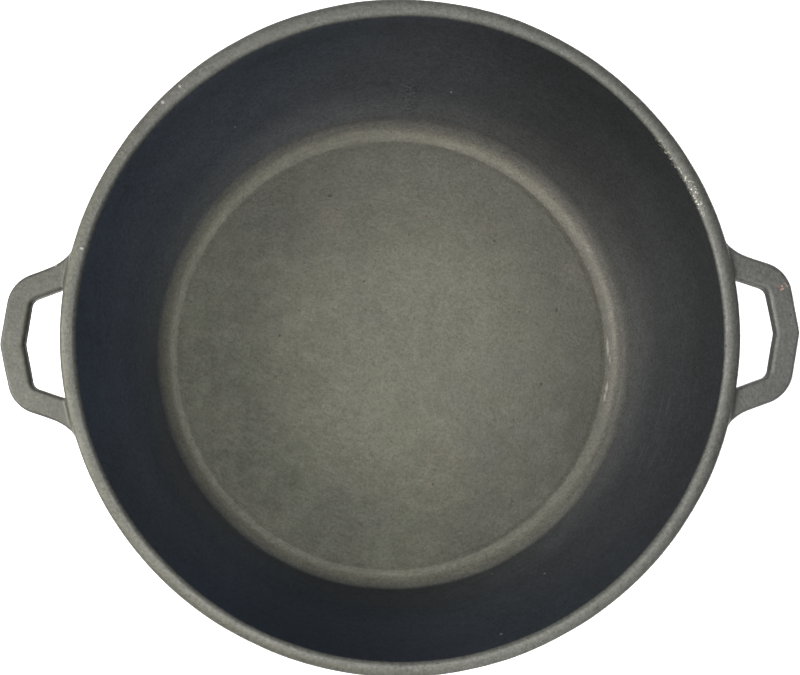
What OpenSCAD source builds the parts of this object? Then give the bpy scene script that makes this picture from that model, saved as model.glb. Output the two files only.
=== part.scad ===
// Cast iron dutch oven pot with two loop handles, open on top.
// Frame: origin on the pot's axis at the face it stands on, +Z up to the rim,
// +X through the right handle, +Y away from the user. Millimetres.

/* [Rim] */
// Height of the rim's top above the table
rim_h = 117; // [110:0.5:124]
// Half the lip's width
lip_r = 3.5; // [3.2:0.1:4]
// Rounding of the lip's two top edges
lip_edge_r = 2.5; // [2:0.1:2.9]
// Radius of the slight crown between those two edges
crown_r = 7; // [5:0.5:12]
// Radius from the pot's axis to the middle of the lip
lip_mid_r = 143.25; // [142:0.05:145]

/* [Wall] */
// Lean of the inner wall from vertical, degrees
draft = 7.5; // [6:0.1:9]
// Thickness of the wall just under the lip
wall_top_t = 4.8; // [4:0.1:6]
// Thickness of the wall just above the bottom corner
wall_low_t = 5.4; // [4.5:0.1:6.5]
// Radius of the corner between cooking floor and wall
inner_corner_r = 11; // [9:0.5:13]
// Radius of the corner outside, between wall and underside
outer_corner_r = 17; // [15:0.5:19]

/* [Base] */
// Radius of the raised cooking floor
floor_r = 117.8; // [114:0.2:119]
// Height of the cooking floor above the table
floor_z = 7; // [6.4:0.1:8]
// How far the cooking floor stands above the corner that starts beside it
floor_step = 0.4; // [0.2:0.1:0.6]
// Height of the underside above the table
under_z = 1.5; // [1:0.1:2]
// Middle radius of the ring that the pot stands on
foot_mid_r = 106.5; // [100:0.5:108]
// Width of the ring that the pot stands on
foot_w = 11; // [8:0.5:13]

/* [Handles] */
// Height of the middle of the handle bar above the table
bar_z = 110; // [108:0.5:111]
// Thickness of the handle bar, top to bottom
bar_t = 6; // [5:0.5:8]
// Rounding of the handle bar's edges
bar_edge_r = 1.9; // [1.2:0.1:2.4]
// Reach of the handle's outer edge from the pot's axis
reach = 174.5; // [172:0.5:178]
// Width of the handle bar at its middle
bar_w = 10.8; // [9:0.2:12]

/* [Hidden] */

// Inner corner: circle that the cooking floor and the inner wall meet
ci_r = floor_r - 1.8;
ci_z = floor_z - floor_step + inner_corner_r * cos(asin(1.8 / inner_corner_r));
// Where that circle joins the inner wall
ti_r = ci_r + inner_corner_r * cos(draft);
ti_z = ci_z - inner_corner_r * sin(draft);
// Lip: slightly crowned on top with rounded edges, tangent to the inner wall
crown_a = asin((lip_r - lip_edge_r) / (crown_r - lip_edge_r));
lip_z = rim_h - crown_r + (crown_r - lip_edge_r) * cos(crown_a);   // middle of the edge roundings
split_z = 104;                                   // the lip node ends here
function in_r(z) = lip_mid_r - lip_r + lip_edge_r - lip_edge_r * cos(draft) + (z - lip_z - lip_edge_r * sin(draft)) * tan(draft);
// Outer wall: a straight line with its own lean
out_a = [in_r(100) + wall_top_t, 100];
out_b = [in_r(18) + wall_low_t, 18];
out_k = (out_a[0] - out_b[0]) / (out_a[1] - out_b[1]);
out_lean = atan(out_k);
function out_r(z) = out_a[0] + (z - out_a[1]) * out_k;
// Outer bottom corner
co_z = under_z + outer_corner_r;
co_r = out_r(co_z - outer_corner_r * sin(out_lean)) - outer_corner_r * cos(out_lean);
// Where that corner passes the edge of the cooking floor
edge_z = co_z - sqrt(pow(outer_corner_r, 2) - pow(max(0, floor_r - co_r), 2));

// Points of an arc about c, radius r, from angle a to b in n steps
function arc(c, r, a, b, n) = [for (i = [0:n]) c + r * [cos(a + (b - a) * i / n), sin(a + (b - a) * i / n)]];

// Bead on the outside of the lip, and its blend into the wall
bead_r = 3;
bead_c = [lip_mid_r + lip_r - bead_r, rim_h - 5.8];
bead_end = bead_c + bead_r * [cos(50), -sin(50)];
h1 = 220;
h2 = 270 - out_lean;
u = [-sin(h1) + sin(h2), cos(h1) - cos(h2)];
blend_r = (bead_end[0] - out_r(bead_end[1])) / (out_k * u[1] - u[0]);
blend_c = bead_end + blend_r * [-sin(h1), cos(h1)];
lip_outside = concat(
    arc([lip_mid_r - lip_r + lip_edge_r, lip_z], lip_edge_r, 180 - draft, 90 + crown_a, 9),
    [for (i = [1:5]) let (a = 90 + crown_a * (1 - i / 3)) [lip_mid_r, rim_h - crown_r] + crown_r * [cos(a), sin(a)]],
    arc([lip_mid_r + lip_r - lip_edge_r, lip_z], lip_edge_r, 90 - crown_a, 0, 9),
    arc(bead_c, bead_r, 0, -50, 6),
    [for (i = [1:8]) let (a = h1 + (h2 - h1) * i / 8) blend_c + blend_r * [sin(a), -cos(a)]]);

module rim_lip() {
    color([0.36, 0.36, 0.33])
    rotate_extrude($fn = 180)
    polygon(concat([[in_r(split_z), split_z]], lip_outside, [[out_r(split_z), split_z]]));
}

module pot_wall() {
    color([0.16, 0.17, 0.17])
    rotate_extrude($fn = 180)
    polygon(concat(
        [[out_r(split_z), split_z]],
        [[in_r(split_z), split_z]],
        arc([ci_r, ci_z], inner_corner_r, -draft, -90 + asin(1.8 / inner_corner_r), 14),
        [[floor_r, edge_z]],
        [for (p = arc([co_r, co_z], outer_corner_r, -90, -out_lean, 16)) if (p[0] > floor_r + 0.01) p]));
}

module pot_base() {
    color([0.33, 0.33, 0.29])
    rotate_extrude($fn = 180)
    polygon([
        [0, floor_z], [floor_r - 0.7, floor_z], [floor_r - 0.25, floor_z - 0.12],
        [floor_r, floor_z - floor_step], [floor_r, edge_z],
        [min(co_r, floor_r - 1), under_z], [0, under_z]]);
}

module foot_ring() {
    color([0.25, 0.25, 0.23])
    rotate_extrude($fn = 180)
    polygon([
        [foot_mid_r - foot_w / 2, under_z], [foot_mid_r - foot_w / 2 + 0.4, 0.35],
        [foot_mid_r - foot_w / 2 + 1.1, 0], [foot_mid_r + foot_w / 2 - 1.1, 0],
        [foot_mid_r + foot_w / 2 - 0.4, 0.35], [foot_mid_r + foot_w / 2, under_z]]);
}

// ---- handles -------------------------------------------------------------
// Unit vector, and the points of a rounded corner at p between a and b
function unit(v) = v / norm(v);
function turn(a, p, b) = acos(max(-1, min(1, unit(p - a) * unit(b - p))));
function corner(a, p, b, r, n) =
    let (d1 = unit(p - a), d2 = unit(b - p), t = turn(a, p, b), l = r * tan(t / 2),
         s = sign(d1[0] * d2[1] - d1[1] * d2[0]), c = p - d1 * l + s * r * [-d1[1], d1[0]],
         a0 = atan2((p - d1 * l - c)[1], (p - d1 * l - c)[0]))
    [for (i = [0:n]) c + r * [cos(a0 + s * t * i / n), sin(a0 + s * t * i / n)]];
function between(a, b, n) = [for (i = [1:n - 1]) a + (b - a) * i / n];

// Corners of the outer and inner edges of the bar in plan, one half of a handle.
// The outer edge ends along the lip and the inner edge ends inside the wall.
v0 = [reach, 0];
v1 = [reach - 4.9, 27.4];
v2 = [142, 37];
v3 = [138.2, 48.4];
w0 = [reach - bar_w, 0];
w1 = [reach - bar_w - 3.4, 18.8];
w3 = [138.2, 26];
function flip(p) = [p[0], -p[1]];
function last(l) = l[len(l) - 1];

outer_half = let (
    c0 = [for (i = [5:10]) corner(flip(v1), v0, v1, 8, 10)[i]],
    c1 = corner(v0, v1, v2, 15.8, 8), c2 = corner(v1, v2, v3, 20, 7))
    concat(c0, between(last(c0), c1[0], 3), c1, between(last(c1), c2[0], 4), c2, between(last(c2), v3, 2), [v3]);
inner_half = let (
    c0 = [for (i = [5:10]) corner(flip(w1), w0, w1, 4, 10)[i]],
    c1 = corner(w0, w1, w3, 4.3, 8), e = last(c1))
    concat(c0, between(last(c0), c1[0], 3), c1, between(e, w3, 13), [w3]);
n_half = len(outer_half);
outer_rail = concat([for (i = [n_half - 1:-1:1]) flip(outer_half[i])], outer_half);
inner_rail = concat([for (i = [n_half - 1:-1:1]) flip(inner_half[i])], inner_half);

// Rounded rectangle of width w and height t, anticlockwise, 5 points a corner
function section(w, t, r) = [for (q = [0:3], i = [0:4])
    let (a = 90 * q + 22.5 * i, sx = (q == 0 || q == 3) ? 1 : -1, sz = q < 2 ? 1 : -1)
    [sx * (w / 2 - r) + r * cos(a), sz * (t / 2 - r) + r * sin(a)]];

// Loft of that section between the two edges
module bar() {
    m = 20;
    n = len(outer_rail);
    pts = [for (k = [0:n - 1])
        let (o = outer_rail[k], i = inner_rail[k], c = (o + i) / 2, d = unit(o - i), s = section(norm(o - i), bar_t, bar_edge_r))
        for (p = s) [c[0] + d[0] * p[0], c[1] + d[1] * p[0], bar_z + p[1]]];
    faces = concat(
        [[for (j = [m - 1:-1:0]) j]],
        [for (k = [0:n - 2], j = [0:m - 1]) let (a = k * m + j, b = k * m + (j + 1) % m) each [[a, b, b + m], [a, b + m, a + m]]],
        [[for (j = [0:m - 1]) (n - 1) * m + j]]);
    polyhedron(points = pts, faces = faces, convexity = 6);
}

// Everything inside the pot's outer surface, for trimming the handle roots
module envelope() {
    rotate_extrude($fn = 180)
    polygon(concat(
        [[0, 90], [0, lip_z]], lip_outside, [[out_r(90), 90]]));
}

module handle() {
    color([0.34, 0.34, 0.31])
    difference() {
        bar();
        envelope();
    }
}

module handle_right() { handle(); }
module handle_left() { rotate([0, 0, 180]) handle(); }

rim_lip();
pot_wall();
pot_base();
foot_ring();
handle_left();
handle_right();
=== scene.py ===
import math
import bpy
import numpy as np
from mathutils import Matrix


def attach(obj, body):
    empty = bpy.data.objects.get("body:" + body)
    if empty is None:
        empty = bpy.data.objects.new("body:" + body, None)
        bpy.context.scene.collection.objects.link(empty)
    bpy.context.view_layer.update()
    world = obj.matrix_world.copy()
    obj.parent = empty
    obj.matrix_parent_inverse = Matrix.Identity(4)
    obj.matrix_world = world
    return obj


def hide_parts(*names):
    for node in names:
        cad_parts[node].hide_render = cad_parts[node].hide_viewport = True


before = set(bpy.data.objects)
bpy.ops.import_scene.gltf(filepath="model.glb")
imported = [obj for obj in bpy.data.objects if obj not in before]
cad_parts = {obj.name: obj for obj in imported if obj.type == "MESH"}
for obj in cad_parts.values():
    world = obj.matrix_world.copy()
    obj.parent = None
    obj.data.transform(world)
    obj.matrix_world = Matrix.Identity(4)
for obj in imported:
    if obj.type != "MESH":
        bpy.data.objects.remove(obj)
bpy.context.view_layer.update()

MM = 0.001
rng = np.random.default_rng(28)

# ---------------------------------------------------------------- dimensions, mm, as in part.scad
rim_h, lip_r, lip_edge_r, crown_r, lip_mid_r, draft = 117.0, 3.5, 2.5, 7.0, 143.25, math.radians(7.5)
floor_r, floor_z, floor_step, corner_r = 117.8, 7.0, 0.4, 11.0
under_z, outer_corner_r = 1.5, 17.0
foot_mid_r, foot_w = 106.5, 11.0
bar_z, bar_t, bar_edge_r, reach, bar_w = 110.0, 6.0, 1.9, 174.5, 10.8
crown_a = math.degrees(math.asin((lip_r - lip_edge_r) / (crown_r - lip_edge_r)))
lip_z = rim_h - crown_r + (crown_r - lip_edge_r) * math.cos(math.radians(crown_a))
split_z = 104.0
ci_r = floor_r - 1.8
ci_z = floor_z - floor_step + corner_r * math.cos(math.asin(1.8 / corner_r))


def in_r(z):
    return lip_mid_r - lip_r + lip_edge_r - lip_edge_r * math.cos(draft) + (z - lip_z - lip_edge_r * math.sin(draft)) * math.tan(draft)


out_a = (in_r(100) + 4.8, 100.0)
out_b = (in_r(18) + 5.4, 18.0)
out_k = (out_a[0] - out_b[0]) / (out_a[1] - out_b[1])
out_lean = math.atan(out_k)


def out_r(z):
    return out_a[0] + (z - out_a[1]) * out_k


co_z = under_z + outer_corner_r
co_r = out_r(co_z - outer_corner_r * math.sin(out_lean)) - outer_corner_r * math.cos(out_lean)


def arc(c, r, a, b, n):
    t = np.radians(np.linspace(a, b, n + 1))
    return np.c_[c[0] + r * np.cos(t), c[1] + r * np.sin(t)]


def line(a, b, n):
    return np.linspace(a, b, n + 1)


# lip: crowned top with rounded edges, bead outside, and a hollow blend into the wall
bead_r = 3.0
bead_c = np.array([lip_mid_r + lip_r - bead_r, rim_h - 5.8])
bead_end = bead_c + bead_r * np.array([math.cos(math.radians(50)), -math.sin(math.radians(50))])
h1, h2 = math.radians(220), math.radians(270) - out_lean
ux, uz = -math.sin(h1) + math.sin(h2), math.cos(h1) - math.cos(h2)
blend_r = (bead_end[0] - out_r(bead_end[1])) / (out_k * uz - ux)
blend_c = bead_end + blend_r * np.array([-math.sin(h1), math.cos(h1)])
bt = np.linspace(h1, h2, 13)
lip_arc = np.concatenate([
    arc((lip_mid_r - lip_r + lip_edge_r, lip_z), lip_edge_r, 180 - math.degrees(draft), 90 + crown_a, 14),
    arc((lip_mid_r, rim_h - crown_r), crown_r, 90 + crown_a, 90 - crown_a, 8)[1:],
    arc((lip_mid_r + lip_r - lip_edge_r, lip_z), lip_edge_r, 90 - crown_a, 0, 14)[1:],
])
bead = arc(bead_c, bead_r, 0, -50, 10)
hollow = blend_c + blend_r * np.c_[np.sin(bt), -np.cos(bt)]

# ---------------------------------------------------------------- unevenness of the sand casting
_wl = np.concatenate([rng.uniform(9, 18, 26), rng.uniform(18, 45, 20), rng.uniform(60, 130, 8)])
_dir = rng.normal(size=(len(_wl), 3))
_dir /= np.linalg.norm(_dir, axis=1)[:, None]
_k = _dir * (2 * math.pi / _wl)[:, None]
_ph = rng.uniform(0, 2 * math.pi, len(_wl))
_amp = 0.00042 * _wl * np.where(_wl < 18, 0.8, 1.0)


def uneven(p):
    """Distance, mm, that the cast surface stands off its true shape at p (mm)."""
    d = np.full(len(p), -0.13)
    for k, a, f in zip(_k, _amp, _ph):
        d += a * np.sin(p @ k + f)
    d = np.minimum(d, -0.02)
    z = p[:, 2]
    foot = np.clip(z / 3.0, 0, 1)
    return d * foot * foot * (3 - 2 * foot)


def uneven_grad(p):
    g = np.zeros_like(p)
    for k, a, f in zip(_k, _amp, _ph):
        g += (a * np.cos(p @ k + f))[:, None] * k
    return g


# ---------------------------------------------------------------- the turned shape, as one continuous surface
STEP_W = 3.4
step = []
for t in np.linspace(0, 1, 11):
    s = t * t * (3 - 2 * t)
    step.append((floor_r - STEP_W + STEP_W * t, floor_z - floor_step * s))
inner_a0 = -90 + math.degrees(math.asin(1.8 / corner_r))
edge_z = co_z - math.sqrt(outer_corner_r ** 2 - (floor_r - co_r) ** 2)
corner_a = -math.degrees(math.acos((floor_r - co_r) / outer_corner_r))

parts = [
    line((0, floor_z), (floor_r - STEP_W, floor_z), 50),
    np.array(step),
    arc((ci_r, ci_z), corner_r, inner_a0, -math.degrees(draft), 22),
    line((ci_r + corner_r * math.cos(draft), ci_z - corner_r * math.sin(draft)), (in_r(split_z), split_z), 40),
    line((in_r(split_z), split_z), lip_arc[0], 5),
    lip_arc,
    line(lip_arc[-1], bead[0], 3),
    bead,
    hollow,
    line(hollow[-1], (out_r(split_z) if hollow[-1][1] > split_z else hollow[-1][0], min(split_z, hollow[-1][1])), 2),
]
wall_top_out = parts[-1][-1]
corner = arc((co_r, co_z), outer_corner_r, -math.degrees(out_lean), corner_a, 20)
parts += [
    line(wall_top_out, corner[0], 40),
    corner,
    np.concatenate([arc((co_r, co_z), outer_corner_r, corner_a, -90, 3)]),
    line((co_r, under_z), (0, under_z), 30),
]
prof, mark = [parts[0][0]], [0]
for q in parts:
    for p in q:
        if np.hypot(*(p - prof[-1])) > 1e-6:
            prof.append(p)
    mark.append(len(prof) - 1)
prof = np.array(prof)
K_EDGE = mark[2]          # floor's edge, where base and wall meet inside
K_IN = mark[4]            # wall and lip, inside
K_OUT = mark[10]          # wall and lip, outside
K_UNDER = mark[12]        # wall and base, outside
K_END = mark[14]

N = 640
th = np.linspace(0, 2 * math.pi, N, endpoint=False)
cs, sn = np.cos(th), np.sin(th)


# the lip is a little wider inwards at the back left
wide = 1.35 * np.exp(-0.5 * ((th - math.radians(106)) / math.radians(23)) ** 2)


def smooth(v, lo, hi):
    t = np.clip((v - lo) / (hi - lo), 0, 1)
    return t * t * (3 - 2 * t)


def oval(p):
    """The lip stands out a little more towards the handles."""
    r = np.hypot(p[..., 0], p[..., 1])
    c = (p[..., 0] * math.cos(math.radians(6)) - p[..., 1] * math.sin(math.radians(6))) / np.maximum(r, 1)
    s = 0.5 * c ** 4 * smooth(r, 142.5, 146) * (1 - smooth(r, 149, 160)) * smooth(p[..., 2], 88, 103)
    q = p.copy()
    q[..., 0] += s * p[..., 0] / np.maximum(r, 1)
    q[..., 1] += s * p[..., 1] / np.maximum(r, 1)
    return q


# the step at the cooking floor's edge is plain at the right only, and nearly runs out elsewhere
level = 0.20 + 0.13 * smooth(-np.cos(th + math.radians(5)), -0.75, -0.1)


def turned(profile, inward=None, lift=None):
    """Grid of points and normals of a turned profile, with the casting's unevenness."""
    m = len(profile)
    t = np.gradient(profile, axis=0)
    ln = np.linalg.norm(t, axis=1)
    ln[ln < 1e-9] = 1
    t /= ln[:, None]
    nr, nz = -t[:, 1], t[:, 0]          # left of the direction of travel: out of the metal
    x = np.stack([profile[:, :1] * cs, profile[:, :1] * sn, np.repeat(profile[:, 1:2], N, 1)], -1)
    n = np.stack([nr[:, None] * cs, nr[:, None] * sn, np.repeat(nz[:, None], N, 1)], -1)
    flat = x.reshape(-1, 3)
    d = uneven(flat).reshape(m, N)
    x = x + n * d[..., None]
    if inward is not None:
        s = inward[:, None] * wide
        x[..., 0] -= s * cs
        x[..., 1] -= s * sn
    if lift is not None:
        x[..., 2] += lift[:, None] * level
    x = oval(x)
    # normals from the displaced grid
    dk = np.gradient(x, axis=0)
    dn = np.roll(x, -1, 1) - np.roll(x, 1, 1)
    c = np.cross(dk, dn)
    ln = np.linalg.norm(c, axis=2)
    bad = ln < 1e-9
    ln[bad] = 1
    c /= ln[..., None]
    s = np.sign((c * n).sum(2))
    s[s == 0] = 1
    c *= s[..., None]
    c[bad] = n[bad]
    return x, c


def make_mesh(name, verts, faces, loop_normals):
    me = bpy.data.meshes.new(name)
    me.from_pydata((np.asarray(verts) * MM).tolist(), [], faces)
    me.update()
    for p in me.polygons:
        p.use_smooth = True
    me.normals_split_custom_set([tuple(v) for v in loop_normals])
    ob = bpy.data.objects.new(name, me)
    bpy.context.scene.collection.objects.link(ob)
    return ob


lean_in = np.zeros(len(prof))
for k in range(K_EDGE, K_OUT):
    r, z = prof[k]
    if r < lip_mid_r:
        a = min(max((z - 98) / 16, 0), 1)
        b = min(max((r - 140.2) / (lip_mid_r - 140.2), 0), 1)
        lean_in[k] = a * a * (3 - 2 * a) * (1 - b * b * (3 - 2 * b))
edge_up = np.zeros(len(prof))
for k in range(0, K_IN):
    r, z = prof[k]
    if z < 30:
        edge_up[k] = smooth(r, floor_r - STEP_W, floor_r) * (1 - smooth(r, 118.2, 123.0))
X, NRM = turned(prof, lean_in, edge_up)


def ring_piece(name, ks):
    """Closed ring-shaped piece from the master grid. ks is a closed list of grid rows; rows that don't follow each other are joined by a flat face."""
    ks = list(ks)
    m = len(ks)
    verts = X[ks].reshape(-1, 3)
    faces, norms = [], []
    j = np.arange(N)
    j2 = (j + 1) % N
    for a in range(m):
        b = (a + 1) % m
        seen = abs(ks[a] - ks[b]) == 1
        A, B, C, D = a * N + j, a * N + j2, b * N + j2, b * N + j
        quad = np.stack([A, D, C, B], 1)
        if seen:
            na, nb = NRM[ks[a]], NRM[ks[b]]
            ln = np.stack([na[j], nb[j], nb[j2], na[j2]], 1)
        else:
            v = verts
            fn = np.cross(v[D] - v[A], v[B] - v[A])
            fn /= np.maximum(np.linalg.norm(fn, axis=1), 1e-12)[:, None]
            ln = np.repeat(fn[:, None], 4, 1)
        faces += quad.tolist()
        norms.append(ln.reshape(-1, 3))
    return make_mesh(name, verts, faces, np.concatenate(norms))


def disc_piece(name, top, under):
    """Closed disc: rows top run from the axis out, rows under from the edge back to the axis."""
    ks = list(top[1:]) + list(under[:-1])
    verts = np.concatenate([X[ks].reshape(-1, 3), [X[top[0]].mean(0)], [X[under[-1]].mean(0)]])
    ct, cu = len(verts) - 2, len(verts) - 1
    j = np.arange(N)
    j2 = (j + 1) % N
    faces, norms = [], []
    up, down = np.array([0, 0, 1.0]), np.array([0, 0, -1.0])
    faces += np.stack([np.full(N, ct), j, j2], 1)[:, [0, 1, 2]].tolist()
    n0 = NRM[ks[0]]
    norms.append(np.stack([np.repeat(up[None], N, 0), n0[j], n0[j2]], 1).reshape(-1, 3))
    m = len(ks)
    for a in range(m - 1):
        b = a + 1
        seen = abs(ks[a] - ks[b]) == 1
        A, B, C, D = a * N + j, a * N + j2, b * N + j2, b * N + j
        faces += np.stack([A, D, C, B], 1).tolist()
        if seen:
            na, nb = NRM[ks[a]], NRM[ks[b]]
            ln = np.stack([na[j], nb[j], nb[j2], na[j2]], 1)
        else:
            fn = np.cross(verts[D] - verts[A], verts[B] - verts[A])
            fn /= np.maximum(np.linalg.norm(fn, axis=1), 1e-12)[:, None]
            ln = np.repeat(fn[:, None], 4, 1)
        norms.append(ln.reshape(-1, 3))
    L = (m - 1) * N
    faces += np.stack([np.full(N, cu), L + j2, L + j], 1).tolist()
    n1 = NRM[ks[-1]]
    norms.append(np.stack([np.repeat(down[None], N, 0), n1[j2], n1[j]], 1).reshape(-1, 3))
    return make_mesh(name, verts, faces, np.concatenate(norms))


def facing_out(ob):
    """Works out the volume from the winding, negative when inside out, and prints it with the triangle count."""
    me = ob.data
    v = np.empty(len(me.vertices) * 3)
    me.vertices.foreach_get("co", v)
    v = v.reshape(-1, 3)
    me.calc_loop_triangles()
    t = np.empty(len(me.loop_triangles) * 3, dtype=np.int64)
    me.loop_triangles.foreach_get("vertices", t)
    t = v[t.reshape(-1, 3)]
    vol = np.einsum("ij,ij->i", t[:, 0], np.cross(t[:, 1], t[:, 2])).sum() / 6
    print("volume cm3", ob.name, round(vol * 1e6, 2), "tris", len(me.loop_triangles))
    return vol


base = disc_piece("base_casting", list(range(0, K_EDGE + 1)), list(range(K_UNDER, K_END + 1)))
wall_rows = list(range(K_EDGE, K_IN + 1)) + list(range(K_OUT, K_UNDER + 1))
wall = ring_piece("wall_casting", wall_rows)
lip = ring_piece("lip_casting", range(K_IN, K_OUT + 1))

# standing ring, with rounded edges and a small fillet to the underside
fi, fo = foot_mid_r - foot_w / 2, foot_mid_r + foot_w / 2
foot_prof = np.concatenate([
    line((fi - 0.5, under_z + 1.2), (fi - 0.5, under_z + 0.02), 2),
    arc((fi - 0.5, under_z - 0.55), 0.57, 90, 0, 5),
    line((fi + 0.07, under_z - 0.6), (fi + 0.12, 0.7), 2),
    arc((fi + 0.82, 0.7), 0.7, 180, 270, 7),
    line((fi + 0.95, 0), (fo - 0.95, 0), 10),
    arc((fo - 0.82, 0.7), 0.7, 270, 360, 7),
    line((fo - 0.12, 0.75), (fo - 0.07, under_z - 0.6), 2),
    arc((fo + 0.5, under_z - 0.55), 0.57, 180, 90, 5),
    line((fo + 0.5, under_z + 0.1), (fo + 0.5, under_z + 1.2), 2),
])
X, NRM = turned(foot_prof[::-1])
foot = ring_piece("foot_casting", range(len(foot_prof)))

for o in (base, wall, lip, foot):
    facing_out(o)
print("rows", len(prof), "marks", mark)

# ---------------------------------------------------------------- handles: rounded bar, blended into the lip


def rounded(a, p, b, r, n):
    d1 = (p - a) / np.linalg.norm(p - a)
    d2 = (b - p) / np.linalg.norm(b - p)
    t = math.acos(max(-1, min(1, float(d1 @ d2))))
    s = np.sign(d1[0] * d2[1] - d1[1] * d2[0])
    l = r * math.tan(t / 2)
    c = p - d1 * l + s * r * np.array([-d1[1], d1[0]])
    v = p - d1 * l - c
    a0 = math.atan2(v[1], v[0])
    ang = a0 + s * t * np.linspace(0, 1, n + 1)
    return c + r * np.c_[np.cos(ang), np.sin(ang)]


v0, v1, v2, v3 = (np.array(p, float) for p in ((reach, 0), (reach - 4.9, 27.4), (142, 37), (137, 52)))
w0, w1, w3 = (np.array(p, float) for p in ((reach - bar_w, 0), (reach - bar_w - 3.4, 18.8), (142.4, 24.7)))
flip = np.array([1, -1])
outer = np.concatenate([rounded(v1 * flip, v0, v1, 8, 12)[6:], rounded(v0, v1, v2, 15.8, 24), rounded(v1, v2, v3, 20, 24), [v3]])
inner = np.concatenate([rounded(w1 * flip, w0, w1, 4, 12)[6:], rounded(w0, w1, w3, 4.3, 14), [w3]])
outer = np.concatenate([outer[:0:-1] * flip, outer])
inner = np.concatenate([inner[:0:-1] * flip, inner])
plan = np.concatenate([outer, inner[::-1]])
lip_poly = np.concatenate([[(120, 92)], [(120, rim_h - 0.6)], [(lip_mid_r - 1.5, rim_h - 0.3)], lip_arc[lip_arc[:, 0] > lip_mid_r - 0.2], bead, hollow, [(out_r(92), 92)]])


def poly_sd(q, poly):
    """Signed distance from points q to a closed polygon, negative inside."""
    out = np.empty(len(q))
    a, b = poly, np.roll(poly, -1, 0)
    e = b - a
    keep = (e ** 2).sum(1) > 1e-12
    a, b, e = a[keep], b[keep], e[keep]
    ee = (e ** 2).sum(1)
    for i in range(0, len(q), 20000):
        p = q[i:i + 20000, None] - a[None]
        t = np.clip((p * e).sum(2) / ee, 0, 1)
        d = np.sqrt(((p - e * t[..., None]) ** 2).sum(2).min(1))
        y = q[i:i + 20000, 1][:, None]
        x = q[i:i + 20000, 0][:, None]
        cross = (a[:, 1] > y) != (b[:, 1] > y)
        xi = a[:, 0] + (y - a[:, 1]) / np.where(e[:, 1] == 0, 1e-12, e[:, 1]) * e[:, 0]
        inside = (cross & (x < xi)).sum(1) % 2 == 1
        out[i:i + 20000] = np.where(inside, -d, d)
    return out


K_BLEND = 2.4


def bar_sd(d2, z):
    q0 = d2 + bar_edge_r
    q1 = np.abs(z - bar_z) - (bar_t / 2 - bar_edge_r)
    return np.minimum(np.maximum(q0, q1), 0) + np.hypot(np.maximum(q0, 0), np.maximum(q1, 0)) - bar_edge_r


def both(a, b):
    h = np.maximum(K_BLEND - np.abs(a - b), 0) / K_BLEND
    return np.minimum(a, b) - h * h * K_BLEND / 4


def shape(p):
    a = bar_sd(poly_sd(p[:, :2], plan), p[:, 2])
    b = poly_sd(np.c_[np.hypot(p[:, 0], p[:, 1]), p[:, 2]], lip_poly)
    return both(a, b), a, b


def shape_grad(p, e=0.02):
    g = np.empty_like(p)
    for i in range(3):
        s = np.zeros(3)
        s[i] = e
        g[:, i] = (shape(p + s)[0] - shape(p - s)[0]) / (2 * e)
    return g


H = 0.45
gx, gy, gz = np.arange(139, 177, H), np.arange(-56, 56.2, H), np.arange(99, 119, H)
GX, GY = np.meshgrid(gx, gy, indexing="ij")
d2 = poly_sd(np.c_[GX.ravel(), GY.ravel()], plan).reshape(GX.shape)
A = bar_sd(d2[..., None], gz[None, None, :])
R2 = np.hypot(GX, GY)
tr = np.arange(136, 190, 0.15)
TR, TZ = np.meshgrid(tr, gz, indexing="ij")
tab = poly_sd(np.c_[TR.ravel(), TZ.ravel()], lip_poly).reshape(TR.shape)
f = (R2 - tr[0]) / 0.15
i0 = np.clip(f.astype(int), 0, len(tr) - 2)
fr = (f - i0)[..., None]
B = tab[i0] * (1 - fr) + tab[i0 + 1] * fr
F = both(A, B)

ins = F < 0
cnt = np.zeros(tuple(s - 1 for s in F.shape), int)
for dx in (0, 1):
    for dy in (0, 1):
        for dz in (0, 1):
            cnt += ins[dx:dx + cnt.shape[0], dy:dy + cnt.shape[1], dz:dz + cnt.shape[2]]
act = (cnt > 0) & (cnt < 8)
idx = np.full(cnt.shape, -1)
idx[act] = np.arange(act.sum())
ci, cj, ck = np.nonzero(act)
pos = np.c_[gx[ci], gy[cj], gz[ck]] + H / 2
sx, sy, sz = F.shape
quads = []
for ax in range(3):
    a = np.take(ins, range(F.shape[ax] - 1), ax)
    b = np.take(ins, range(1, F.shape[ax]), ax)
    for flipd, m in ((False, a & ~b), (True, ~a & b)):
        e = np.array(np.nonzero(m)).T
        o1, o2 = [(1, 2), (2, 0), (0, 1)][ax]
        ok = (e[:, o1] > 0) & (e[:, o2] > 0) & (e[:, o1] < F.shape[o1] - 1) & (e[:, o2] < F.shape[o2] - 1)
        e = e[ok]
        c = []
        for u, w in ((-1, -1), (0, -1), (0, 0), (-1, 0)):
            g = e.copy()
            g[:, o1] += u
            g[:, o2] += w
            c.append(idx[g[:, 0], g[:, 1], g[:, 2]])
        qd = np.stack(c, 1)
        quads.append(qd[:, ::-1] if flipd else qd)
quads = np.concatenate(quads)
quads = quads[(quads >= 0).all(1)]
for _ in range(5):
    v = shape(pos)[0]
    if _ in (0, 2):
        g = shape_grad(pos)
    pos = pos - g * (v / np.maximum((g ** 2).sum(1), 0.2))[:, None]
val, da, db = shape(pos)
keepv = (da < K_BLEND + 0.45) & (np.hypot(pos[:, 0], pos[:, 1]) > 143)
quads = quads[keepv[quads].all(1)]
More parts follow.
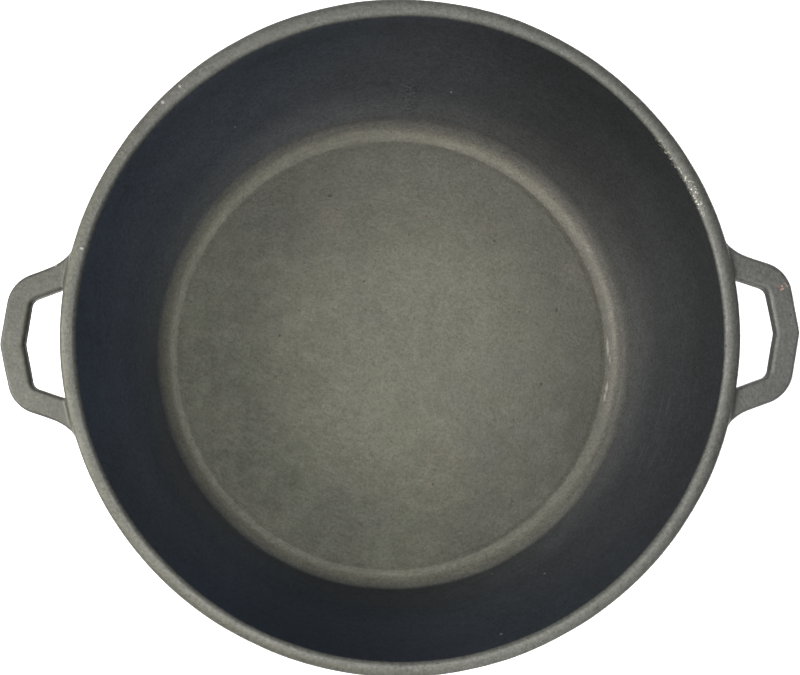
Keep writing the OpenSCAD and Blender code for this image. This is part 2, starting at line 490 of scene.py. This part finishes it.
# only what hangs together with the bar
parent = np.arange(len(pos))
lab = np.arange(len(pos))
for _ in range(400):
    m = lab[quads].min(1)
    new = lab.copy()
    np.minimum.at(new, quads.ravel(), np.repeat(m, 4))
    if (new == lab).all():
        break
    lab = new
far = lab[np.argmax(pos[:, 0] * keepv)]
quads = quads[(lab[quads] == far).all(1)]
used = np.unique(quads)
remap = np.full(len(pos), -1)
remap[used] = np.arange(len(used))
pos, quads, da = pos[used], remap[quads], da[used]
nrm = shape_grad(pos)
nrm /= np.linalg.norm(nrm, axis=1)[:, None]
sink = np.clip((da - (K_BLEND - 0.5)) / 0.95, 0, 1)
pos = pos - nrm * (0.02 * sink * sink)[:, None]

# boundary loops round the two roots, closed inside the wall
edges = np.concatenate([quads[:, [0, 1]], quads[:, [1, 2]], quads[:, [2, 3]], quads[:, [3, 0]]])
key = np.sort(edges, 1)
uniq, first, counts = np.unique(key, axis=0, return_index=True, return_counts=True)
rimedges = edges[first[counts == 1]]
print("handle", len(pos), "verts", len(quads), "quads", len(rimedges), "open edges")


def handle(name, half_turn):
    p, n = pos.copy(), nrm.copy()
    if half_turn:
        p[:, :2] *= -1
        n[:, :2] *= -1
    d = uneven(p)
    g = uneven_grad(p)
    g -= n * (g * n).sum(1)[:, None]
    p = p + n * d[:, None]
    n = n - g
    n /= np.linalg.norm(n, axis=1)[:, None]
    p = oval(p)
    verts = p
    faces = quads.tolist()
    norms = [n[quads].reshape(-1, 3)]
    for side in (-1, 1):
        e = rimedges[pos[rimedges[:, 0], 1] * side > 0]
        c = verts[np.unique(e)].mean(0)
        c[:2] *= 1 - 1.6 / np.hypot(c[0], c[1])
        k = len(verts)
        verts = np.concatenate([verts, [c]])
        faces += np.stack([e[:, 1], e[:, 0], np.full(len(e), k)], 1).tolist()
        fn = np.cross(verts[e[:, 0]] - verts[e[:, 1]], c - verts[e[:, 1]])
        fn /= np.maximum(np.linalg.norm(fn, axis=1), 1e-12)[:, None]
        norms.append(np.repeat(fn, 3, 0))
    return make_mesh(name, verts, faces, np.concatenate(norms))


handle_r = handle("handle_right_casting", False)
handle_l = handle("handle_left_casting", True)
for o in (handle_r, handle_l):
    facing_out(o)

# ---------------------------------------------------------------- materials


class Nodes:
    """Small helper that writes a material's node graph from formulas."""

    def __init__(self, name):
        m = bpy.data.materials.new(name)
        m.use_nodes = True
        self.mat, self.nt = m, m.node_tree
        self.nt.nodes.clear()
        out = self.nt.nodes.new("ShaderNodeOutputMaterial")
        self.bsdf = self.nt.nodes.new("ShaderNodeBsdfPrincipled")
        self.link(self.bsdf.outputs[0], out.inputs[0])
        self.p = self.nt.nodes.new("ShaderNodeTexCoord").outputs["Object"]
        sep = self.nt.nodes.new("ShaderNodeSeparateXYZ")
        self.link(self.p, sep.inputs[0])
        self.x, self.y, self.z = sep.outputs[0], sep.outputs[1], sep.outputs[2]

    def link(self, a, b):
        self.nt.links.new(a, b)

    def put(self, sock, v):
        if isinstance(v, (int, float)):
            sock.default_value = v
        elif isinstance(v, tuple):
            sock.default_value = v + (1,) if len(sock.default_value) == 4 and len(v) == 3 else v
        else:
            self.link(v, sock)

    def f(self, op, a, b=None, c=None):
        n = self.nt.nodes.new("ShaderNodeMath")
        n.operation = op
        for i, v in enumerate((a, b, c)):
            if v is not None:
                self.put(n.inputs[i], v)
        return n.outputs[0]

    def add(self, *v):
        t = v[0]
        for q in v[1:]:
            t = self.f("ADD", t, q)
        return t

    def mul(self, *v):
        t = v[0]
        for q in v[1:]:
            t = self.f("MULTIPLY", t, q)
        return t

    def vec(self, x, y, z):
        n = self.nt.nodes.new("ShaderNodeCombineXYZ")
        for i, v in enumerate((x, y, z)):
            self.put(n.inputs[i], v)
        return n.outputs[0]

    def vop(self, op, a, b):
        n = self.nt.nodes.new("ShaderNodeVectorMath")
        n.operation = op
        self.put(n.inputs[0], a)
        self.put(n.inputs["Scale"] if op == "SCALE" else n.inputs[1], b)
        return n.outputs["Value"] if op in ("DISTANCE", "LENGTH") else n.outputs[0]

    def noise(self, scale, detail=3, rough=0.55, at=None, seed=0.0):
        n = self.nt.nodes.new("ShaderNodeTexNoise")
        n.noise_dimensions = "3D"
        n.inputs["Scale"].default_value = scale
        n.inputs["Detail"].default_value = detail
        n.inputs["Roughness"].default_value = rough
        at = self.p if at is None else at
        if seed:
            at = self.vop("ADD", at, (seed, seed * 0.7, -seed))
        self.link(at, n.inputs["Vector"])
        return n.outputs["Fac"]

    def dots(self, scale, radius, share, seed=0.0):
        """Sparse round dots: 1 inside, 0 outside. share is the part of the cells that have one."""
        n = self.nt.nodes.new("ShaderNodeTexVoronoi")
        n.inputs["Scale"].default_value = scale
        self.link(self.vop("ADD", self.p, (seed, seed, seed)) if seed else self.p, n.inputs["Vector"])
        near = self.ease(n.outputs["Distance"], radius, radius * 0.45)
        sep = self.nt.nodes.new("ShaderNodeSeparateColor")
        self.link(n.outputs["Color"], sep.inputs[0])
        return self.mul(near, self.f("LESS_THAN", sep.outputs[0], share))

    def ease(self, v, lo, hi, a=0.0, b=1.0):
        """a below lo, b above hi, smooth between; lo may be above hi."""
        n = self.nt.nodes.new("ShaderNodeMapRange")
        n.interpolation_type = "SMOOTHSTEP"
        if lo > hi:
            lo, hi, a, b = hi, lo, b, a
        for i, q in enumerate((v, lo, hi, a, b)):
            self.put(n.inputs[i], q)
        return n.outputs[0]

    def ramp(self, v, *stops):
        n = self.nt.nodes.new("ShaderNodeValToRGB")
        e = n.color_ramp.elements
        e[0].position, e[0].color = stops[0][0], stops[0][1] + (1,)
        e[1].position, e[1].color = stops[-1][0], stops[-1][1] + (1,)
        for pos_, col in stops[1:-1]:
            e.new(pos_).color = col + (1,)
        self.put(n.inputs[0], v)
        return n.outputs[0]

    def mix(self, t, a, b):
        n = self.nt.nodes.new("ShaderNodeMix")
        n.data_type = "RGBA"
        self.put(n.inputs[0], t)
        self.put(n.inputs[6], a)
        self.put(n.inputs[7], b)
        return n.outputs[2]

    def mix_f(self, t, a, b):
        n = self.nt.nodes.new("ShaderNodeMix")
        n.data_type = "FLOAT"
        self.put(n.inputs[0], t)
        self.put(n.inputs[2], a)
        self.put(n.inputs[3], b)
        return n.outputs[0]

    def spot(self, c, size, turn=0.0, ragged=0.0, scale=500):
        """Soft ellipsoid patch round point c (mm) with half-sizes (mm), turned about Z by degrees: 1 in the middle, 0 outside."""
        t = math.radians(turn)
        dx, dy = self.f("SUBTRACT", self.x, c[0] * MM), self.f("SUBTRACT", self.y, c[1] * MM)
        dz = self.f("SUBTRACT", self.z, c[2] * MM)
        u = self.add(self.mul(dx, math.cos(t)), self.mul(dy, math.sin(t)))
        w = self.add(self.mul(dx, -math.sin(t)), self.mul(dy, math.cos(t)))
        q = self.vec(self.mul(u, 1 / (size[0] * MM)), self.mul(w, 1 / (size[1] * MM)), self.mul(dz, 1 / (size[2] * MM)))
        n = self.nt.nodes.new("ShaderNodeVectorMath")
        n.operation = "LENGTH"
        self.link(q, n.inputs[0])
        d = n.outputs["Value"]
        if ragged:
            d = self.add(d, self.mul(self.f("SUBTRACT", self.noise(scale, 3), 0.5), ragged))
        return self.ease(d, 1.0, 0.45)


WALL_K = math.tan(draft)


def cast_iron(name, region):
    """Seasoned sand-cast iron. Colour follows the place on the pot, so that pieces meet without a visible line; part of
    its tone round the pot is painted light and shade, set by how the light falls.
    """
    g = Nodes(name)
    r = g.f("SQRT", g.add(g.mul(g.x, g.x), g.mul(g.y, g.y)))
    rr = g.f("MAXIMUM", r, 0.01)
    side, back = g.f("DIVIDE", g.x, rr), g.f("DIVIDE", g.y, rr)

    def lobe(deg, power):
        """1 towards that side of the pot, fading to 0 either way."""
        a = math.radians(deg)
        return g.f("POWER", g.f("MAXIMUM", g.add(g.mul(side, math.cos(a)), g.mul(back, math.sin(a))), 0.0), power)

    # grain, mottling and patches shared by all regions
    patch = g.noise(17, 4, 0.55)
    mid = g.noise(105, 4, 0.6)
    blot = g.noise(270, 2, 0.5, seed=1.7)
    grain = g.noise(640, 3, 0.75)
    sand = g.noise(1500, 2, 0.7, seed=3.1)

    # The fillet colour at the floor's edge is lighter and warmer than the rest: partly its warm tint, partly a painted
    # highlight.
    ring, lip_c = (0.0865, 0.084, 0.0655), (0.0635, 0.0635, 0.0565)
    # The floor's edge colour is painted darker than its middle: painted shade.
    floor_c, floor_edge_shade = (0.067, 0.067, 0.0500), (0.044, 0.044, 0.0350)
    # The two handle colours paint the left handle darker and the right lighter: painted shade and light.
    bar_l_painted_shade, bar_r_painted_light, out_c = (0.0455, 0.0452, 0.0370), (0.061, 0.0605, 0.0565), (0.040, 0.040, 0.0375)

    # Painted light and shade on the lip: its inner slope is painted lighter at the front and darker at the left and
    # back, its outer slope darker at the right and front left.
    lip_in_painted_light = g.add(1.06, g.mul(lobe(245, 3), 0.42), g.mul(lobe(165, 3), -0.28), g.mul(lobe(90, 3), -0.22))
    lip_out_painted_light = g.add(0.92, g.mul(lobe(5, 3), -0.30), g.mul(lobe(225, 8), -0.12))
    lip_c = g.mix(g.mul(g.ease(r, 0.1415, 0.1450), g.ease(g.add(g.mul(side, -0.8), g.mul(back, -0.35)), 0.0, 0.75)), lip_c, (0.0640, 0.0635, 0.0490))
    lip_c = g.vop("SCALE", lip_c, g.mix_f(g.ease(r, 0.1405, 0.1452), lip_in_painted_light, lip_out_painted_light))

    if region == "floor":
        # Painted shade and light: the floor is painted darker from the middle out to its edge, where the walls shade
        # it, and lighter or darker by side round the pot as the light falls.
        top = g.mix(g.ease(r, 0.045, 0.112), floor_c, floor_edge_shade)
        top = g.vop("SCALE", top, g.add(0.965, g.mul(g.y, -1.0), g.mul(g.ease(r, 0.015, 0.060), g.add(g.mul(lobe(322, 4), -0.13), g.mul(lobe(180, 4), -0.08), g.mul(lobe(20, 4), 0.06), g.mul(lobe(240, 6), 0.05)))))
        top = g.vop("SCALE", top, g.add(1.03, g.mul(g.ease(r, 0.070, 0.112), g.add(g.mul(lobe(98, 3), 0.42), g.mul(lobe(325, 3), -0.18), g.mul(lobe(185, 4), -0.10)))))
        olive = g.ease(g.add(g.mul(g.add(g.x, g.y), -5.0), patch), 0.30, 1.10)
        top = g.mix(g.mul(olive, 0.6), top, (0.0575, 0.0595, 0.040))
        brown = g.ease(g.noise(30, 3, seed=8.2), 0.52, 0.70)
        top = g.mix(g.mul(brown, 0.45), top, (0.066, 0.0585, 0.046))
        grey = g.ease(g.noise(24, 3, seed=4.4), 0.52, 0.68)
        top = g.mix(g.mul(grey, 0.4), top, (0.052, 0.053, 0.045))
        # Painted highlight: the fillet's lighter colour at the floor's edge, strongest at the right and back.
        top = g.mix(g.mul(g.ease(r, 0.1150, 0.1178), g.add(0.29, g.mul(side, 0.18), g.mul(back, 0.22))), top, ring)
        col = g.mix(g.ease(g.z, 0.005, 0.006), out_c, top)
    elif region in ("wall", "rim"):
        # Painted shade and reflection: the inner wall is painted much darker than the floor and lip, darker still
        # towards the lip, and a blue tint stands in for cool reflected light, most at the left and front.
        painted_cool_reflection = g.add(0.43, g.mul(side, -0.29), g.mul(back, -0.18), g.mul(lobe(212, 30), -0.28), g.mul(lobe(252, 6), 0.20))
        low = g.mix(painted_cool_reflection, (0.047, 0.0468, 0.0452), (0.041, 0.0480, 0.0575))
        half = g.mix(painted_cool_reflection, (0.031, 0.0315, 0.0320), (0.0250, 0.0330, 0.0500))
        top = g.mix(painted_cool_reflection, (0.0215, 0.0225, 0.0235), (0.0162, 0.0240, 0.0395))
        up = g.mix(g.ease(g.z, 0.016, 0.060), low, half)
        up = g.mix(g.ease(g.z, 0.060, 0.110), up, top)
        # The wall is painted lighter on one side, and lighter low down at the back and right: partly the seasoning's
        # own tone, partly painted light and shade.
        above = g.add(1.28, g.mul(side, -0.33), g.mul(back, 0.22),
                      g.mul(g.ease(g.z, 0.070, 0.018), g.add(g.mul(side, 0.18), g.mul(back, 0.30))))
        above = g.mul(above, g.add(1.17, g.mul(lobe(52, 6), -0.50), g.mul(lobe(120, 6), 0.20), g.mul(lobe(208, 8), 0.30)))
        above = g.mul(above, g.add(1.0, g.mul(g.ease(g.z, 0.060, 0.026), g.add(0.04, g.mul(lobe(325, 3), 0.28), g.mul(lobe(92, 8), 0.24), g.mul(lobe(240, 8), 0.22), g.mul(lobe(265, 8), 0.10)))))
        above = g.mul(above, g.add(1.0, g.mul(g.ease(g.z, 0.080, 0.104), lobe(20, 2), -0.16), g.mul(lobe(208, 8), 0.10), g.mul(lobe(275, 6), 0.12)))
        # Painted light and shade on the fillet at the floor's edge: its colour is scaled by side and height to follow
        # how the light falls, lightest low down at the front and left; at its foot it blends into the floor's darker
        # edge colour.
        near = g.add(0.84, g.mul(side, -0.30), g.mul(back, back, back, back, g.f("LESS_THAN", back, 0.0), 0.55), g.mul(g.f("MAXIMUM", back, 0.0), 0.14),
                     g.mul(lobe(165, 4), -0.16), g.mul(lobe(245, 8), 0.10))
        slope = g.add(0.36, g.mul(side, -0.145), g.mul(back, -0.17))
        near = g.mul(near, g.add(1.0, g.mul(slope, g.ease_linear(g.z, 0.0066, 0.0096, -0.45, 0.55))))
        up = g.vop("SCALE", up, above)
        pink = g.ease(g.add(g.mul(g.add(side, back), 0.30), g.noise(60, 3, seed=5.5)), 0.55, 1.05)
        ring_col_painted_light = g.mix(g.mul(pink, 0.4), ring, (0.094, 0.082, 0.0665))
        ring_col_painted_light = g.vop("SCALE", ring_col_painted_light, near)
        ring_col_painted_light = g.vop("SCALE", ring_col_painted_light, g.add(1.0, g.mul(g.ease(g.z, 0.0082, 0.0068), lobe(245, 2), -0.16)))
        ring_col_painted_light = g.mix(g.ease(g.z, 0.0066, 0.0074), g.mix(0.45, ring_col_painted_light, floor_edge_shade), ring_col_painted_light)
        # higher up the root turns from khaki to plain grey
        ring_col_painted_light = g.mix(g.ease(g.z, 0.0080, 0.0125), ring_col_painted_light, g.vop("MULTIPLY", ring_col_painted_light, (0.98, 1.0, 1.17)))
        # Painted highlight: higher up, the fillet's colour is lighter at the right and the back, and the lighter colour
        # reaches higher up the wall there.
        ring_col_painted_light = g.vop("SCALE", ring_col_painted_light, g.add(1.0, g.mul(g.ease(g.z, 0.0095, 0.0125), g.add(g.mul(lobe(350, 3), 0.75), g.mul(lobe(98, 5), 0.42)))))
        painted_light_rise = g.mul(g.f("MAXIMUM", g.add(0.26, g.mul(side, 0.62), g.mul(back, 0.34), g.mul(lobe(95, 4), 0.22), g.mul(lobe(340, 4), 0.18)), 0.0), 0.0042)
        inner = g.mix(g.ease(g.f("SUBTRACT", g.z, painted_light_rise), 0.0117, 0.0162), ring_col_painted_light, up)
        inner = g.mix(g.ease(g.z, 0.1148, 0.1156), inner, lip_c)
        if region == "rim":
            inner = g.mix(g.ease(r, 0.1424, 0.1434), inner, lip_c)
        # beyond the middle of the wall it is the outer side
        skin = g.f("SUBTRACT", r, g.add(g.mul(g.z, WALL_K), (in_r(0) + 2.6) * MM))
        outer_side = g.mul(g.ease(skin, -0.0002, 0.0002), g.ease(g.z, 0.1145, 0.1125))
        below = g.ease(g.z, 0.0064, 0.0060)
        outer_side = g.f("MAXIMUM", outer_side, below)
        col = g.mix(outer_side, inner, g.mix(g.ease(g.z, 0.104, 0.1125), out_c, lip_c))
    else:
        # Painted shade and light: the left handle is coloured darker than the right.
        bar = g.mix(g.ease(g.x, -0.01, 0.01), bar_l_painted_shade, bar_r_painted_light)
        near = g.mix(g.ease(g.z, 0.104, 0.1125), out_c, lip_c)
        col = g.mix(g.ease(r, 0.1464, 0.1500), near, bar)

    # brightness: broad mottling and salt-and-pepper grain
    k = {"floor": 0.82, "wall": 1.05, "rim": 0.95, "handle": 0.85}[region]
    bright = g.add(g.ease_linear(patch, 0.3, 0.7, -0.10, 0.10), g.ease_linear(mid, 0.3, 0.7, -0.045 * k, 0.045 * k),
                   g.ease_linear(blot, 0.25, 0.75, -0.07 * k, 0.07 * k),
                   g.ease_linear(grain, 0.25, 0.75, -0.40 * k, 0.40 * k), g.ease_linear(sand, 0.25, 0.75, -0.22 * k, 0.22 * k), 1.0)
    salt = g.dots(360, 0.17, 0.10)
    pepper = g.dots(300, 0.20, 0.13, seed=2.3)
    bright = g.add(bright, g.mul(salt, 0.42), g.mul(pepper, -0.32))
    height = g.add(g.mul(grain, 0.55), g.mul(sand, 0.25), g.mul(mid, 0.55), g.mul(pepper, -0.12))
    rough = g.ease_linear(mid, 0.3, 0.7, 0.47, 0.57)

    if region == "floor":
        # faint drag marks across the floor, strongest at the front left
        ca, sa = math.cos(math.radians(-24)), math.sin(math.radians(-24))
        u, v = g.add(g.mul(g.x, ca), g.mul(g.y, sa)), g.add(g.mul(g.x, -sa), g.mul(g.y, ca))
        drag = g.noise(520, 3, 0.7, at=g.vec(g.mul(u, 0.30), v, 0.0))
        bright = g.add(bright, g.mul(g.ease_linear(drag, 0.3, 0.7, -0.15, 0.15), g.ease_linear(g.add(g.x, g.y), -0.12, 0.12, 1.0, 0.3)))
    if region == "wall":
        # the root of the wall is smoother than the rest
        bright = g.mix_f(g.ease(g.z, 0.020, 0.010), bright, g.add(0.22, g.mul(bright, 0.78)))
        # faint rub marks that run round the wall
        ang = g.f("ARCTAN2", g.y, g.x)
        line_v = g.vec(g.mul(ang, 0.012), g.z, g.mul(r, 0.3))
        rub = g.noise(520, 3, 0.7, at=line_v)
        worn = g.spot((130, -42, 72), (14, 34, 34), -18, 0.5, 60)
        bright = g.add(bright, g.ease_linear(rub, 0.3, 0.7, -0.07, 0.07), g.mul(worn, g.ease(rub, 0.54, 0.70), 0.55))
        # a patch of wrinkled casting skin
        skin_p = g.spot((10, 130, 40), (7, 8, 24), 0, 0.6, 90)
        wr = g.noise(330, 3, 0.8, at=g.vop("ADD", g.p, g.vop("SCALE", g.vec(g.noise(120, 2), g.noise(120, 2, seed=2.2), 0.0), 0.02)))
        height = g.add(height, g.mul(skin_p, wr, 4.0))
        bright = g.add(bright, g.mul(skin_p, g.ease_linear(wr, 0.35, 0.65, -0.35, 0.35)))

    col = g.vop("SCALE", col, g.f("MAXIMUM", bright, 0.1))

    if region in ("floor", "wall"):
        # rust and soot caught at the edge of the cooking floor, darkened most at the right and back as painted shade of
        # the step there, and pale and brown streaks beside it
        ragged = g.add(r, g.mul(g.f("SUBTRACT", g.noise(420, 3, 0.7, seed=2.7), 0.5), 0.0022))
        soot_and_step_shade = g.mul(g.ease(ragged, 0.1156, 0.1170), g.ease(ragged, 0.1184, 0.1172), g.ease(g.z, 0.0115, 0.0095), g.ease(g.z, 0.0058, 0.0062))
        where = g.ease(g.add(g.mul(side, 0.55), g.mul(back, 0.40), g.mul(g.f("SUBTRACT", g.noise(70, 3, seed=6.1), 0.5), 1.3)), 0.20, 0.65)
        col = g.mix(g.mul(soot_and_step_shade, where, 0.50), col, (0.036, 0.030, 0.021))
        for c, size, turn, tint, amount in (
            ((118.8, 2.6, 6.8), (0.8, 6.4, 3), 1, (0.132, 0.126, 0.108), 0.75),
            ((119.8, -4.2, 6.8), (0.6, 3.2, 3), -2, (0.14, 0.132, 0.112), 0.6),
            ((117.9, -19.0, 6.8), (0.85, 4.2, 3), -9, (0.142, 0.134, 0.114), 0.8),
            ((116.7, -24.6, 6.8), (0.7, 2.8, 3), -12, (0.14, 0.13, 0.11), 0.65),
            ((118.4, -15.4, 6.8), (0.45, 4.6, 3), -8, (0.070, 0.044, 0.028), 0.6),
            ((112.6, 34.4, 6.8), (0.75, 6.5, 3), 17, (0.070, 0.047, 0.034), 0.6),
            ((105.5, 52.0, 6.8), (0.6, 4.5, 3), 26, (0.070, 0.052, 0.038), 0.4),
        ):
            col = g.mix(g.mul(g.spot(c, size, turn, 1.3, 620), amount), col, tint)
    if region == "floor":
        for c, size in (((-32.0, 88.6, 7), (1.3, 1.0, 3)), ((91.5, 23.5, 7), (1.1, 0.9, 3)), ((82.6, -16.9, 7), (1.2, 0.9, 3)),
                        ((-61, 12, 7), (0.8, 0.7, 3)), ((22, -71, 7), (0.9, 0.6, 3)), ((-14, 41, 7), (0.8, 0.6, 3)), ((58, 62, 7), (0.8, 0.8, 3))):
            m = g.spot(c, size, 20, 0.5, 600)
            col = g.mix(g.mul(m, 0.6), col, (0.020, 0.019, 0.016))
            height = g.add(height, g.mul(m, -0.6))
    if region == "wall":
        for c in ((-76.4, 108.9, 62.9), (30.5, 128.1, 52.2), (51.3, -117.2, 24.1), (-121, 44, 78), (-104, -72, 41), (98, 84, 55), (72, -112, 60)):
            col = g.mix(g.mul(g.spot(c, (0.75, 0.75, 1.3)), 0.75), col, (0.22, 0.22, 0.21))
        # thin scratches on the right
        for c, size, turn, tint, amount in (
            ((128.9, -12.5, 49), (1.3, 7.5, 3.0), -5, (0.017, 0.017, 0.017), 0.55),
            ((129.3, -14.0, 51), (1.3, 8.5, 1.0), -6, (0.085, 0.085, 0.082), 0.45),
            ((131.4, -19.5, 68), (1.3, 7.0, 1.1), -8, (0.082, 0.082, 0.080), 0.55),
            ((130.2, -31.0, 70), (1.3, 6.0, 0.9), -13, (0.070, 0.070, 0.068), 0.45),
        ):
            col = g.mix(g.mul(g.spot(c, size, turn, 0.5, 300), amount), col, tint)
    if region in ("wall", "rim"):
        col = g.mix(g.mul(g.spot((43.8, -131.3, 103.3), (0.8, 0.8, 1.3)), 0.75), col, (0.22, 0.22, 0.21))
    if region == "rim":
        # the lip's inner edge is rubbed to bright metal where a lid or spoon knocks it
        a1 = g.spot((117.2, 76.4, 115.9), (1.15, 15.5, 2.6), 33, 0.5, 300)
        a2 = g.spot((127.5, 60.5, 116.4), (2.3, 13.5, 3.0), 25.4, 0.7, 300)
        spark = g.f("MAXIMUM", g.dots(760, 0.30, 0.60, seed=1.1), g.ease(g.noise(900, 2, 0.6, seed=9.0), 0.56, 0.66))
        m = g.f("MAXIMUM", a1, g.mul(a2, 0.75))
        m = g.mul(m, spark)
        col = g.mix(g.mul(m, 0.9), col, (0.34, 0.325, 0.27))
        rough = g.mix_f(m, rough, 0.36)
        for c, size, turn in (((-100.6, 103.0, 116.6), (1.3, 0.9, 2), 134), ((-93.2, 109.8, 116.8), (1.0, 0.7, 2), 130), ((-136.5, 40.5, 116.7), (1.0, 0.7, 2), 163)):
            col = g.mix(g.mul(g.spot(c, size, turn, 0.6, 700), 0.8), col, (0.22, 0.22, 0.20))
    if region in ("rim", "handle"):
        col = g.mix(g.mul(g.spot((-149.2, 34.1, 112.8), (0.9, 0.9, 1.6)), 0.8), col, (0.24, 0.24, 0.215))
    if region == "handle":
        m = g.mul(g.spot((166.2, 20.0, 113), (3.4, 2.4, 2.5), 25, 0.8, 500), g.f("MAXIMUM", g.dots(620, 0.36, 0.75, seed=7.7), g.ease(g.noise(800, 2, 0.6, seed=2.9), 0.54, 0.62)))
        col = g.mix(g.mul(m, 0.75), col, (0.30, 0.185, 0.135))
        m = g.mul(g.spot((171.0, 8.0, 112.6), (1.6, 7.5, 2.5), 8, 0.8, 500), g.dots(560, 0.28, 0.45, seed=3.3))
        col = g.mix(g.mul(m, 0.55), col, (0.22, 0.19, 0.15))

    g.finish(col, rough, height, 0.00030, 0.45)
    return g.mat


def _ease_linear(self, v, lo, hi, a=0.0, b=1.0):
    n = self.nt.nodes.new("ShaderNodeMapRange")
    for i, q in enumerate((v, lo, hi, a, b)):
        self.put(n.inputs[i], q)
    return n.outputs[0]


def _finish(self, col, rough, height, distance, metal):
    self.link(col, self.bsdf.inputs["Base Color"])
    self.link(rough, self.bsdf.inputs["Roughness"])
    self.bsdf.inputs["Metallic"].default_value = metal
    b = self.nt.nodes.new("ShaderNodeBump")
    b.inputs["Strength"].default_value = 1.0
    b.inputs["Distance"].default_value = distance
    self.link(height, b.inputs["Height"])
    self.link(b.outputs[0], self.bsdf.inputs["Normal"])


Nodes.ease_linear, Nodes.finish = _ease_linear, _finish

m_floor = cast_iron("cast_iron_floor", "floor")
m_wall = cast_iron("cast_iron_wall", "wall")
m_lip = cast_iron("cast_iron_rim", "rim")
m_handle = cast_iron("cast_iron_handle", "handle")

for ob, mat, node, slot in (
    (base, m_floor, "pot_base", "cast_iron_floor"),
    (wall, m_wall, "pot_wall", "cast_iron_wall"),
    (lip, m_lip, "rim_lip", "cast_iron_rim"),
    (foot, m_wall, "foot_ring", "cast_iron_wall"),
    (handle_l, m_handle, "handle_left", "cast_iron_handle"),
    (handle_r, m_handle, "handle_right", "cast_iron_handle"),
):
    ob.data.materials.append(mat)
    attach(ob, "root")
    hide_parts(node)

# ---------------------------------------------------------------- floor, light, camera
bpy.ops.mesh.primitive_plane_add(size=8, location=(0, 0, -0.0001))
ground = bpy.context.object
ground.name = "ground"
gm = bpy.data.materials.new("ground")
gm.use_nodes = True
gb = gm.node_tree.nodes["Principled BSDF"]
gb.inputs["Base Color"].default_value = (0.93, 0.93, 0.93, 1)
gb.inputs["Roughness"].default_value = 0.9
gb.inputs["Emission Color"].default_value = (1, 1, 1, 1)
gb.inputs["Emission Strength"].default_value = 0.22
ground.data.materials.append(gm)

scene = bpy.context.scene
world = bpy.data.worlds.new("world")
scene.world = world
world.use_nodes = True
wb = world.node_tree.nodes["Background"]
wb.inputs[0].default_value = (0.90, 0.955, 1.0, 1)
wb.inputs[1].default_value = 0.46


def area(name, loc, target, size, power, color=(1, 1, 1)):
    l = bpy.data.lights.new(name, "AREA")
    l.shape = "DISK"
    l.size = size
    l.energy = power
    l.color = color
    o = bpy.data.objects.new(name, l)
    o.location = loc
    from mathutils import Vector
    o.rotation_euler = (Vector(target) - Vector(loc)).to_track_quat("-Z", "Y").to_euler()
    scene.collection.objects.link(o)
    return o


area("key", (-1.38, -0.12, 1.28), (0, 0, 0.1), 1.0, 56, (1.0, 0.985, 0.95))
area("front", (0.35, -1.35, 1.25), (0, 0, 0.1), 0.9, 15, (1.0, 0.985, 0.95))
area("top", (0.0, 0.05, 1.9), (0, 0, 0.0), 1.1, 26, (1.0, 0.99, 0.96))

cam = bpy.data.cameras.new("camera")
co = bpy.data.objects.new("camera", cam)
scene.collection.objects.link(co)
co.location = (-0.0176, -0.0358, 0.517)
co.rotation_euler = (math.radians(0.15), math.radians(0.33), math.radians(-0.84))
cam.sensor_width = 36
cam.lens = 929.9 / 800 * 36
cam.shift_x = 45.6 / 800
cam.shift_y = 81.3 / 800
cam.clip_start, cam.clip_end = 0.01, 50
scene.camera = co
scene.view_settings.view_transform = "Standard"
scene.view_settings.look = "None"
